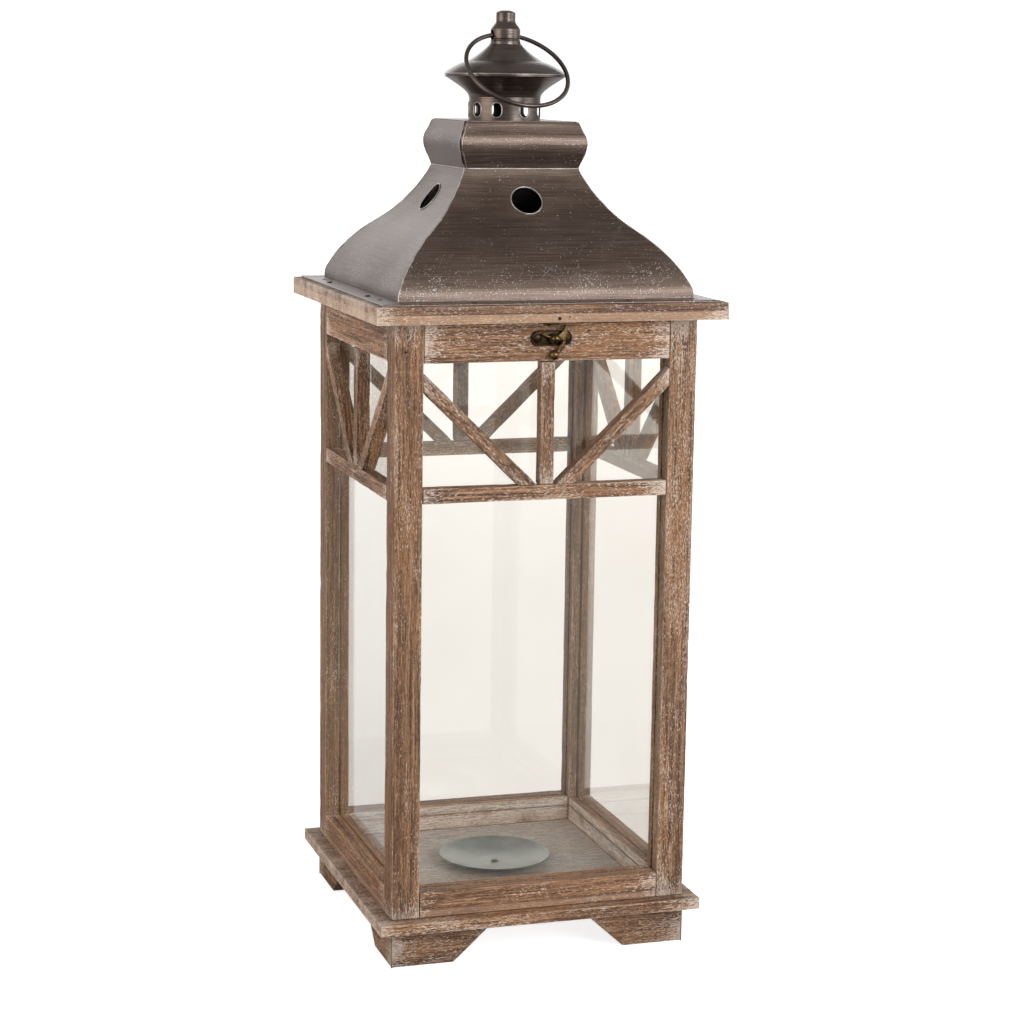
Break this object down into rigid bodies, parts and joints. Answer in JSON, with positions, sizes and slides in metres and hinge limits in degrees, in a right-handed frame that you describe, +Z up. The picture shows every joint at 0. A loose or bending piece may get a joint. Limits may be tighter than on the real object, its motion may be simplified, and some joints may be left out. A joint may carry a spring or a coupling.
{
  "type": "hanging lantern",
  "caption": "Tall square glazed lantern with a wooden frame, a hinged lid carrying a pagoda sheet-metal hood and chimney, a swinging carrying ring and a candle dish inside.",
  "frame": {"origin": "on the ground at the centre of the base", "axes": "+Z up, front with the latch towards -Y, +X to the right seen from the front"},
  "size_m": [0.235, 0.235, 0.62],
  "materials": {
    "frame_wood": "brushed brown stain with white-washed grain",
    "roof_wood": "brushed brown stain with white-washed grain",
    "glass": "clear float glass",
    "dish_steel": "satin grey",
    "antique_brass": "aged, dark in the hollows",
    "dark_metal": "dark brown-grey, brushed, semi-gloss"
  },
  "bodies": {
    "frame": {"foot_front_left": "frame_wood", "foot_front_right": "frame_wood", "foot_back_left": "frame_wood", "foot_back_right": "frame_wood", "base_board": "frame_wood", "post_front_left": "frame_wood", "post_front_right": "frame_wood", "post_back_left": "frame_wood", "post_back_right": "frame_wood", "bottom_rail_front": "frame_wood", "bottom_rail_back": "frame_wood", "bottom_rail_left": "frame_wood", "bottom_rail_right": "frame_wood", "mid_rail_front": "frame_wood", "mid_rail_back": "frame_wood", "mid_rail_left": "frame_wood", "mid_rail_right": "frame_wood", "top_rail_front": "frame_wood", "top_rail_back": "frame_wood", "top_rail_left": "frame_wood", "top_rail_right": "frame_wood", "mullion_front": "frame_wood", "mullion_back": "frame_wood", "mullion_left": "frame_wood", "mullion_right": "frame_wood", "braces_front": "frame_wood", "braces_back": "frame_wood", "braces_left": "frame_wood", "braces_right": "frame_wood", "pane_front": "glass", "pane_back": "glass", "pane_left": "glass", "pane_right": "glass", "candle_dish": "dish_steel", "dish_screw": "dish_steel", "latch_plate": "antique_brass", "latch_screws": "antique_brass", "latch_rivet": "antique_brass", "hinge_frame_leaves": "antique_brass", "hinge_pins": "antique_brass", "hinge_frame_screws": "antique_brass"},
    "roof": {"hinge_roof_leaves": "antique_brass", "hinge_roof_screws": "antique_brass", "latch_catch": "antique_brass", "catch_screw": "antique_brass", "roof_board": "roof_wood", "hood_front": "dark_metal", "hood_back": "dark_metal", "hood_left": "dark_metal", "hood_right": "dark_metal", "hood_nails": "dark_metal", "collar_box": "dark_metal", "chimney": "dark_metal", "cap_lower": "dark_metal", "cap_upper": "dark_metal", "knob": "dark_metal"},
    "ring": {"ring": "dark_metal"},
    "hook": {"latch_hook": "antique_brass"}
  },
  "joints": [
    {"name": "roof_lid", "type": "hinge", "parent": "frame", "child": "roof", "pos_m": [0, 0.1052, 0.4209], "axis": [-1, 0, 0], "range_deg": [0, 105]},
    {"name": "ring_swing", "type": "hinge", "parent": "roof", "child": "ring", "pos_m": [0, 0, 0.604], "axis": [-1, 0, 0], "range_deg": [0, 262]},
    {"name": "latch_turn", "type": "hinge", "parent": "frame", "child": "hook", "pos_m": [0.0025, -0.1045, 0.4129], "axis": [0, 1, 0], "range_deg": [-12, 30]}
  ]
}
